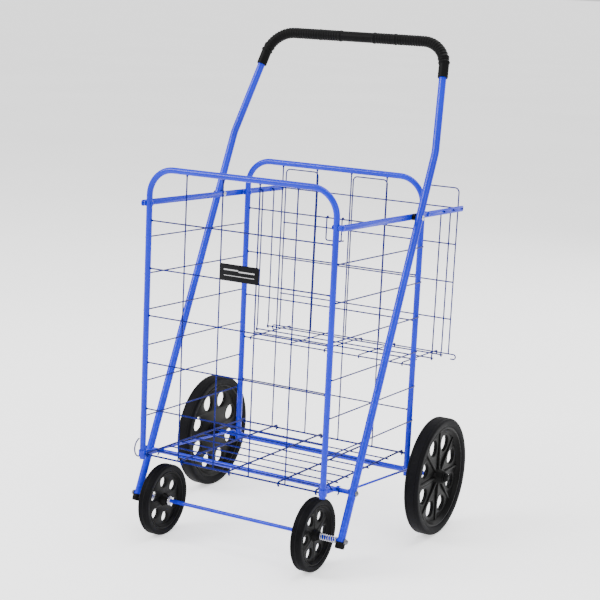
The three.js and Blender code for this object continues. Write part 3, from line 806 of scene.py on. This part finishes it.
def make_handle():
    """The U-shaped tube with its grip, and what is fixed to its legs."""
    line = [handle_foot(-1), handle_break(-1), handle_corner(-1), handle_corner(1), handle_break(1),
            handle_foot(1)]
    bm = bmesh.new()
    tube(bm, bent(line, [BREAK_BEND, HANDLE_BEND, HANDLE_BEND, BREAK_BEND], 16), HANDLE_R, 32,
         bore=HANDLE_R - TUBE_WALL)
    piece("handle_loop_tube", bm, PAINT, "handle_tube")

    share = (GRIP_START - HANDLE_BREAK) / (handle_corner(1).z - HANDLE_BREAK)
    ends = [handle_break(side).lerp(handle_corner(side), share) for side in (-1, 1)]
    path = bent([ends[0], handle_corner(-1), handle_corner(1), ends[1]], HANDLE_BEND, 40)
    samples, total = evenly(path, pitch=0.00085)
    radii = [grip_radius(total * k / (len(samples) - 1), total) for k in range(len(samples))]
    bm = bmesh.new()
    tube(bm, samples, radii, TUBE_SIDES, bore=HANDLE_R + GAP)
    piece("ribbed_grip", bm, GRIP_BLACK, "grip", sharp=60)

    down = at(0, -HANDLE_SLOPE, -1).normalized()
    spin = at(1, 0, 0).rotation_difference(down).to_matrix().to_4x4()
    bore, end, mouth = HANDLE_R + GAP, 0.0070, -0.0066
    cap = [(end, 0.0), (end, 0.0078), (0.0064, 0.0091), (0.0052, 0.0096), (0.0040, 0.0094),
           (0.0030, 0.0100), (0.0, 0.0099), (-0.0060, 0.0096), (mouth, 0.0092), (mouth, bore),
           (GAP, bore), (GAP, 0.0)]
    for word, side in SIDES:
        stood_piece(f"handle_end_cap_{word}", cap, handle_foot(side), spin, 36, f"handle_cap_{word}")
        make_cross_bolt(word, side)
        make_spring(word, side)
    make_front_axle()


def make_cross_bolt(word, side):
    """Domed bolt with a washer, through the handle leg into the flattened end of the cross tube."""
    node = f"cross_bolt_{word}"
    face = HANDLE_OUT
    inside = min(abs(low(node).x), abs(high(node).x))
    washer, washer_top, head, tall, chamfer = 0.0060, face + 0.0009, 0.0050, 0.0034, 0.0004
    profile = [(inside, 0.0), (inside, RIVET_R - chamfer), (inside + chamfer, RIVET_R), (face, RIVET_R),
               (face, washer), (washer_top, washer)] + dome(washer_top, head, tall)
    turned_piece(f"cross_tube_bolt_{word}", profile, CROSS, 36, side, DULL_ZINC, node)


def make_spring(word, side):
    """Compression spring on the front axle, closed coils at both ends."""
    node = f"spring_{word}"
    lo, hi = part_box(node)
    start, end = sorted((abs(lo.x), abs(hi.x)))
    wire, turns, per_turn = 0.00095, 8.5, 26
    coil_r = (hi.z - lo.z) / 2 - wire
    open_turns = turns - 2.0
    open_length = end - start - 6 * wire
    samples = []
    for k in range(int(turns * per_turn) + 1):
        turn = k / per_turn
        closed = min(turn, 1.0) + max(0.0, turn - turns + 1.0)
        opened = min(max(turn - 1.0, 0.0), open_turns) / open_turns
        x = start + wire + closed * 2 * wire + opened * open_length
        angle = 2 * math.pi * turn
        y, z = FRONT_AXLE.y + coil_r * math.cos(angle), FRONT_AXLE.z + coil_r * math.sin(angle)
        samples.append(at(side * x, y, z))
    bm = bmesh.new()
    tube(bm, samples, wire, 8)
    piece(f"coil_spring_{word}", bm, ZINC, node)


def make_rod(name, tip, radius, chamfer, centre, sides, node):
    """A painted round rod across the cart with chamfered ends."""
    half = [(tip, 0.0), (tip, radius - chamfer), (tip - chamfer, radius)]
    turned_piece(name, mirrored(half), centre, sides, 1, PAINT, node)


def make_front_axle():
    """Painted rod, a collar inside each wheel and a domed push nut outside each handle leg."""
    nut = HANDLE_OUT
    end = high("front_axle").x
    tip = nut + 0.0030
    make_rod("front_axle_rod", tip, FRONT_AXLE_R, 0.0004, FRONT_AXLE, 36, "front_axle")

    bore = FRONT_AXLE_R + 0.0001
    push_nut = [(tip + 0.0002, 0.0), (tip + 0.0002, bore), (nut, bore), (nut, 0.0062),
                (nut + 0.0008, 0.0065), (nut + 0.0010, 0.0055), (nut + 0.0036, 0.0053),
                (nut + 0.0054, 0.0044), (end - 0.0004, 0.0024), (end, 0.0)]
    hub_face = abs(high("front_wheel_left").x)
    near, far = hub_face - 0.0048, hub_face - GAP
    neck, flange, chamfer = 0.0070, 0.0094, 0.0004
    collar = [(near, FRONT_AXLE_R), (near, neck - chamfer), (near + chamfer, neck), (near + 0.0016, neck),
              (near + 0.0020, flange - chamfer), (near + 0.0024, flange), (far - chamfer, flange),
              (far, flange - chamfer), (far, FRONT_AXLE_R)]
    body = BODY["front_axle"]
    for word, side in SIDES:
        turned_piece(f"front_axle_collar_{word}", collar, FRONT_AXLE, 40, side, ZINC, body=body, closed=True)
        turned_piece(f"front_axle_nut_{word}", push_nut, FRONT_AXLE, 36, side, DULL_ZINC, body=body)


# ---- lower frame ----
def make_bottom_frame():
    """Cross tube with flattened ends and a rod each side that hooks over the rear axle."""
    end = HANDLE_IN
    rod_x, hook_r = 0.228, AXLE_R + GAP + 0.0002 + ROD_R
    flat_length, fade, squeeze = 0.020, 0.004, 0.30
    flat_from = end - flat_length
    stations = [(-end, 1), (-end + fade, 1), (-flat_from + fade, 1), (-flat_from - fade, 0)]
    stations += [(-x, flat) for x, flat in reversed(stations)]
    bm = bmesh.new()
    rings = []
    for x, flat in stations:
        across = at(0, 1 - squeeze * flat, 0)
        rings.append(ring_at(bm, at(x, CROSS.y, CROSS.z), across, at(0, 0, 1), CROSS_R, TUBE_SIDES))
    solid(bm, rings)
    for _, side in SIDES:
        x = side * rod_x
        line = [at(x, CROSS.y, CROSS.z)] + arc(x, REAR_Y, REAR_AXLE.z, hook_r, 92, -25, 16)
        tube(bm, line, ROD_R, 14, chamfer=STOUT_CUT)
        bead(bm, at(x, CROSS.y + CROSS_R * 0.9, CROSS.z), (0.0040, 0.0030, 0.0034))
    piece("cross_tube_and_rods", bm, PAINT, "bottom_frame")


def make_basket_floor():
    """Long wires hooked round the lowest grille wires, with cross wires welded below them."""
    hook_r = 2 * STOUT_R + HOOK_PLAY
    long_x = (-0.200, -0.115, 0.0, 0.115, 0.200)
    half, first, pitch, count = 0.205, 0.350, 0.046, 7
    below, weld = 0.0028, (0.0024, 0.0024, 0.0017)
    bm = bmesh.new()
    for x in long_x:
        line = arc(x, REAR_Y, REAR_ROW, hook_r, -80, 90 - LEAN)
        tube(bm, line + arc(x, FRONT_Y, FRONT_ROW, hook_r, 90 - LEAN, 260), STOUT_R, chamfer=STOUT_CUT)
    for i in range(count):
        y = REAR_Y - first + i * pitch
        z = REAR_ROW + up(y) + hook_r - below
        crosswire(bm, half, y, z)
        for x in long_x:
            bead(bm, at(x, y, z + 0.0012), weld)
    piece("basket_floor_wires", bm, SHADED_WIRE_PAINT, "basket_floor")


def make_feet():
    """Saddle bracket at the foot of each front post, its swinging latch, and the collar above it."""
    thick, inner, edge = 0.0024, CROSS_R + 0.0006, 0.0006
    toe_top, toe_bottom = CROSS.z + 0.019, CROSS.z + 0.0065
    pin_x, pin_y, pin_z = 0.211, CROSS.y - 0.0125, CROSS.z + 0.006
    latch_bends = [0.0016, 0.0025, 0.0020]
    weld = (0.0030, 0.0016, 0.0030)

    def ring(radius, start, end):
        return [Vector((p.y, p.z)) for p in arc(0, CROSS.y, CROSS.z, radius, start, end)]

    toe = FRONT_Y + POST_R + GAP
    outline = [Vector((toe, toe_top))] + ring(inner + thick, 112, 60) + ring(inner, 60, 165)
    outline.append(Vector((toe, toe_bottom)))
    for word, side in SIDES:
        node = f"foot_bracket_{word}"
        x0, x1 = low(node).x, high(node).x
        bm = bmesh.new()
        plate(bm, [outline, circle(pin_y, pin_z, WIRE_HOLE, 20)], x0, x1, edge)
        for lift in (0.0095, 0.0155):
            bead(bm, at((x0 + x1) / 2, toe + GAP, CROSS.z + lift), weld)
        piece(f"foot_saddle_{word}", bm, PAINT, node)

        node = f"foot_latch_{word}"
        x = side * (max(abs(x0), abs(x1)) + GAP + WIRE_R)
        y = CROSS.y - CROSS_R - 0.0008 - WIRE_R
        tip = low(node).z + WIRE_R
        line = [at(side * pin_x, pin_y, pin_z), at(x, pin_y, pin_z), at(x, y, pin_z - 0.007),
                at(x, y, tip + 0.003), at(x, y - 0.004, tip)]
        wire_piece(f"foot_latch_wire_{word}", bent(line, latch_bends, 6), node, cut=STOUT_CUT)
        make_foot_collar(word, side)


def make_foot_collar(word, side):
    """Band round the foot of a front post, with a finger wire.

    The wire curls up in front on the left and stands behind the post on the right.
    """
    body = BODY[f"foot_bracket_{word}"]
    bottom, top = CROSS.z + 0.006, CROSS.z + 0.020
    outer, chamfer = POST_R + 0.0022, 0.0004
    section = ((bottom, POST_R), (bottom, outer - chamfer), (bottom + chamfer, outer),
               (top - chamfer, outer), (top, outer - chamfer), (top, POST_R))
    bm = bmesh.new()
    rings = [ring_at(bm, at(side * POST_X, FRONT_Y, z), at(1, 0, 0), at(0, 1, 0), r, TUBE_SIDES)
             for z, r in section]
    skin(bm, rings + [rings[0]])
    piece(f"foot_collar_{word}", bm, PAINT, body=body)

    if side < 0:
        x = -POST_FACE - WIRE_R - 0.0002
        line = arc(x, FRONT_Y + 0.0019, CROSS.z + 0.0245, 0.0197, 258, 102, 24)
    else:
        x = high("foot_bracket_right").x + WIRE_R - 0.0003
        line = [at(x, FRONT_Y + 0.036, CROSS.z + 0.0095), at(x, FRONT_Y + 0.013, CROSS.z + 0.0325)]
    wire_piece(f"foot_finger_wire_{word}", line, body=body)


# ---- rear basket ----
BASKET_HOOK_R = 2 * WIRE_R + HOOK_PLAY
BASKET_LOWEST = REAR_FLOOR_Z + up(TAIL_Y)


def hanger_eye(y):
    """Height of a cross wire of the rear basket floor, which a hanging wire hooks round."""
    return REAR_FLOOR_Z + up(y) + BASKET_HOOK_R + 0.002


def make_rear_basket_back():
    """Three wire loops on cross wires; the lowest wire is curled back at both ends."""
    top, loop_bend, half, below = 0.727, 0.010, 0.220, 0.001
    loops = ((-0.2185, -0.1345), (-0.043, 0.043), (0.1345, 0.2185))
    rows = [(z, half) for z in (0.602, 0.517, 0.433)] + [(REAR_PIVOT.z + up(TAIL_Y), STUB_X)]
    bm = bmesh.new()
    for x0, x1 in loops:
        y, foot = TAIL_Y + WELD, BASKET_LOWEST - below
        line = [at(x0, y, foot), at(x0, y, top), at(x1, y, top), at(x1, y, foot)]
        tube(bm, bent(line, loop_bend, 12), WIRE_R, chamfer=CUT)
    for z, reach in rows:
        crosswire(bm, reach, TAIL_Y, z)
    for z in [row[0] for row in rows] + [BASKET_LOWEST]:
        for x in (x for loop in loops for x in loop):
            bead(bm, at(x, TAIL_Y + WELD / 2, z), WELD_BEAD)

    curl, reach, hook = 0.0055, half + 0.0115, 0.0065
    end = [at(p.y, TAIL_Y, p.z) for p in arc(0, reach, BASKET_LOWEST - curl, curl, 90, -90)]
    end.append(at(reach - hook, TAIL_Y, BASKET_LOWEST - 2 * curl))
    tube(bm, [at(-p.x, p.y, p.z) for p in reversed(end)] + end, WIRE_R, chamfer=CUT)
    piece("rear_basket_back_panel", bm, SHADED_WIRE_PAINT, "rear_basket_back")


def make_rear_basket_floor():
    """Long wires hooked at both ends, with three cross wires on top of them."""
    long_x = (-0.190, -0.085, 0.0, 0.085, 0.190)
    rows = [(REAR_Y + 0.040, 0.205)] + [(y, SIDE_X + 0.0035) for y in HANGER_Y]
    bm = bmesh.new()
    for x in long_x:
        line = arc(x, REAR_Y, REAR_FLOOR_Z, BASKET_HOOK_R, 250, 90 - LEAN)
        line += arc(x, TAIL_Y, BASKET_LOWEST, BASKET_HOOK_R, 90 - LEAN, -80)
        tube(bm, line, WIRE_R, chamfer=CUT)
    for y, half in rows:
        z = hanger_eye(y)
        crosswire(bm, half, y, z)
        for x in long_x:
            bead(bm, at(x, y, z - 0.001), (0.0021, 0.0021, 0.0016))
    piece("rear_basket_floor_wires", bm, SHADED_WIRE_PAINT, "rear_basket_floor")


def make_rear_basket_sides():
    """Hanging wires: over the strap at the top, hooked round a floor wire at the bottom."""
    for word, side in SIDES:
        for i, y in enumerate(HANGER_Y, 1):
            x, eye_z, strap_z = side * SIDE_X, hanger_eye(y), REAR_PIVOT.z + up(y)
            line = bent([at(side * STUB_X, y, strap_z), at(x, y, strap_z), at(x, y, eye_z)], 0.0025, 8)[:-1]
            line.append(at(x, y, eye_z + 0.014))
            line += arc(x, y, eye_z, BASKET_HOOK_R, 125, 300, 16)
            wire_piece(f"rear_basket_side_wire_{word}_{i}", line, f"rear_basket_hanger_{word}_{i}")


def make_fold_catch():
    """Wire catch hooked over the top wire of the rear grille, one end run on past its leg."""
    left_x, right_x = low("fold_catch").x + WIRE_R, high("fold_catch").x - WIRE_R
    y = REAR_Y - BASKET_HOOK_R
    eye_z = REAR_ROW + (GRILLE_ROWS - 1) * GRILLE_PITCH
    foot_z = low("fold_catch").z + WIRE_R
    foot = bent([at(left_x, y, eye_z), at(left_x, y, foot_z), at(right_x, y, foot_z), at(right_x, y, eye_z)],
                0.004, 8)
    left, right = (arc(x, REAR_Y, eye_z, BASKET_HOOK_R, -20, 180, 16) for x in (left_x, right_x))
    bm = bmesh.new()
    tube(bm, left[:-1] + foot + right[::-1][1:], WIRE_R, chamfer=CUT)
    spur_y, spur_z = y - 0.002, foot_z + 0.0026
    spur = [at(right_x - 0.006, spur_y, spur_z - 0.001), at(right_x + 0.006, spur_y, spur_z),
            at(right_x + 0.008, spur_y - 0.0015, spur_z + 0.001)]
    tube(bm, bent(spur, 0.002, 6), WIRE_R, chamfer=CUT)
    piece("fold_catch_wire", bm, SHADED_WIRE_PAINT, "fold_catch")


# ---- wheels ----
def leaf(inner, outer, half_width, turn):
    """A leaf-shaped opening on a radius, fuller towards its outer end."""
    steps = 36
    found = []
    for k in range(steps):
        angle = 2 * math.pi * k / steps
        share = (1 - math.cos(angle)) / 2
        radial = inner + (outer - inner) * share
        width = half_width * math.sin(angle) * (0.80 + 0.30 * share)
        found.append(Vector((radial * math.cos(turn) - width * math.sin(turn),
                             radial * math.sin(turn) + width * math.cos(turn))))
    return found


def fin(bm, profile, thickness, turn, x_face):
    """A radial rib: its profile holds (radius, height above the face); x_face is signed."""
    section = ((-0.5, -0.3), (-0.5, 0.55), (-0.22, 1.0), (0.22, 1.0), (0.5, 0.55), (0.5, -0.3))
    sign = math.copysign(1, x_face)
    way = at(0, math.cos(turn), math.sin(turn))
    side_way = at(0, -math.sin(turn), math.cos(turn))
    solid(bm, [[bm.verts.new(way * radius + side_way * across * thickness
                             + at(x_face + sign * (height * lift), 0, 0))
                for across, lift in section] for radius, height in profile])


def make_wheel(end, word, side, s):
    """A moulded wheel: lipped rim, ribbed web with leaf openings, and a stepped hub; then its tyre."""
    node = f"{end}_wheel_{word}"
    centre = middle(node)
    seat = s.tyre_inner - GAP
    lip, floor_r, web, rim = s.lip, s.rim_inner, s.web, s.rim_half
    half_rim = [(web * 0.6, floor_r - 0.004), (web, floor_r - 0.002), (web + 0.0012, floor_r),
                (rim - 0.0022, lip - 0.0012), (rim - 0.0008, lip - 0.0006), (rim, lip + 0.0004),
                (rim, seat - 0.0008), (rim - 0.0006, seat)]
    hub, hub_half, bore = s.hub_r, s.hub_half, s.bore
    half_hub = [(hub_half, bore), (hub_half, hub * 0.62), (hub_half - 0.0008, hub * 0.66),
                (hub_half - 0.0040, hub * 0.68), (hub_half - 0.0050, hub * 0.74),
                (web + 0.0050, hub * 0.86), (web + 0.0015, hub * 0.98), (web * 0.7, hub * 1.12)]
    bm = bmesh.new()
    turned(bm, mirrored(half_rim), ORIGIN, s.sides, closed=True)
    turned(bm, mirrored(half_hub), ORIGIN, 64, closed=True)
    step = 2 * math.pi / s.count
    rest_turn = s.opening_turn[word]
    openings = [leaf(*s.opening, step * (k + rest_turn)) for k in range(s.count)]
    rim_and_bore = [circle(0, 0, floor_r, s.sides), circle(0, 0, bore + 0.001, 32)]
    plate(bm, rim_and_bore + openings, -web, web, 0.0012)
    tall = s.rib_height
    rib = [(hub * 0.8, tall), (hub * 1.3, tall), (floor_r * 0.75, tall * 0.6), (floor_r, tall * 0.5)]
    for k in range(s.count):
        fin(bm, rib, s.rib_width, step * (k + rest_turn + 0.5), side * web)
    shift(bm, centre)
    piece(f"{end}_wheel_moulding_{word}", bm, WHEEL_BLACK, node)

    bm = bmesh.new()
    turned(bm, tyre_profile(s), ORIGIN, s.sides, closed=True)
    shift(bm, centre)
    piece(f"{end}_tyre_tread_{word}", bm, RUBBER, f"{end}_tyre_{word}", sharp=50)


def tyre_profile(s):
    """Half of a tyre section mirrored: seat, bulged side wall, round shoulder, grooved tread."""
    inner, radius, wide, rim = s.tyre_inner, s.radius, s.tyre_half, s.rim_half
    shoulder, deep, broad = s.shoulder, s.groove_depth, s.groove_half
    tread, steps = wide - shoulder, 8
    half = [(rim - 0.0002, inner), (rim + 0.0008, inner + 0.0012),
            (wide - 0.0006, inner + 0.35 * (radius - inner))]
    for k in range(steps + 1):
        angle = math.pi / 2 * k / steps
        half.append((tread + shoulder * math.cos(angle), radius - shoulder + shoulder * math.sin(angle)))
    for share in s.grooves:
        place = share * tread
        half += [(place + broad * 1.5, radius), (place + broad, radius - deep),
                 (place - broad, radius - deep), (place - broad * 1.5, radius)]
    return mirrored(half)


# opening: inner radius, outer radius, half width; opening_turn: share of one opening's pitch;
# grooves: their places as shares of the flat half of the tread
REAR_WHEEL = SimpleNamespace(
    radius=0.127, tyre_inner=0.109, tyre_half=0.016, shoulder=0.0055,
    rim_half=0.013, rim_inner=0.099, lip=0.1045, web=0.004,
    hub_r=0.019, hub_half=0.023, bore=AXLE_R + GAP, sides=96,
    count=8, opening=(0.0545, 0.0905, 0.0175), opening_turn={"left": 0.5, "right": 0.5},
    rib_width=0.0052, rib_height=0.0046,
    grooves=(0.82,), groove_depth=0.0005, groove_half=0.0004,
)
FRONT_WHEEL = SimpleNamespace(
    radius=0.075, tyre_inner=0.062, tyre_half=0.0125, shoulder=0.0042,
    rim_half=0.0105, rim_inner=0.0555, lip=0.0590, web=0.0035,
    hub_r=0.013, hub_half=0.016, bore=FRONT_AXLE_R + GAP, sides=80,
    count=6, opening=(0.0275, 0.0495, 0.0108), opening_turn={"left": 0.6, "right": 0.0},
    rib_width=0.0060, rib_height=0.0010,
    grooves=(0.95, 0.62, 0.29), groove_depth=0.0007, groove_half=0.0005,
)


def make_wheels():
    """Four wheels, the rear axle and a formed cap on each of its ends."""
    for end, spec in (("rear", REAR_WHEEL), ("front", FRONT_WHEEL)):
        for word, side in SIDES:
            make_wheel(end, word, side, spec)
    hub_end = middle("rear_wheel_right").x + REAR_WHEEL.hub_half + GAP
    make_rod("rear_axle_rod", hub_end + 0.004, AXLE_R, 0.0005, REAR_AXLE, 32, "rear_axle")
    bore = AXLE_R + 0.0001
    tip = high("rear_axle").x
    cap = [(hub_end + 0.0042, 0.0), (hub_end + 0.0042, bore), (hub_end, bore), (hub_end, 0.0094),
           (hub_end + 0.0006, 0.0100), (hub_end + 0.0018, 0.0100), (hub_end + 0.0024, 0.0092),
           (hub_end + 0.0032, 0.0080), (hub_end + 0.0040, 0.0080), (hub_end + 0.0052, 0.0074),
           (tip - 0.0006, 0.0056), (tip, 0.0036), (tip - 0.0004, 0.0)]
    for word, side in SIDES:
        turned_piece(f"rear_axle_cap_{word}", cap, REAR_AXLE, 36, side, PLUG_BLACK, body=BODY["rear_axle"])


make_studio()
make_upright_frame("rear", REAR_Y)
make_upright_frame("front", FRONT_Y)
make_grille("front", FRONT_Y, FRONT_ROW)
make_grille("rear", REAR_Y, REAR_ROW)
make_label()
make_straps()
make_side_wires()
make_handle()
make_bottom_frame()
make_basket_floor()
make_feet()
make_rear_basket_back()
make_rear_basket_floor()
make_rear_basket_sides()
make_fold_catch()
make_wheels()
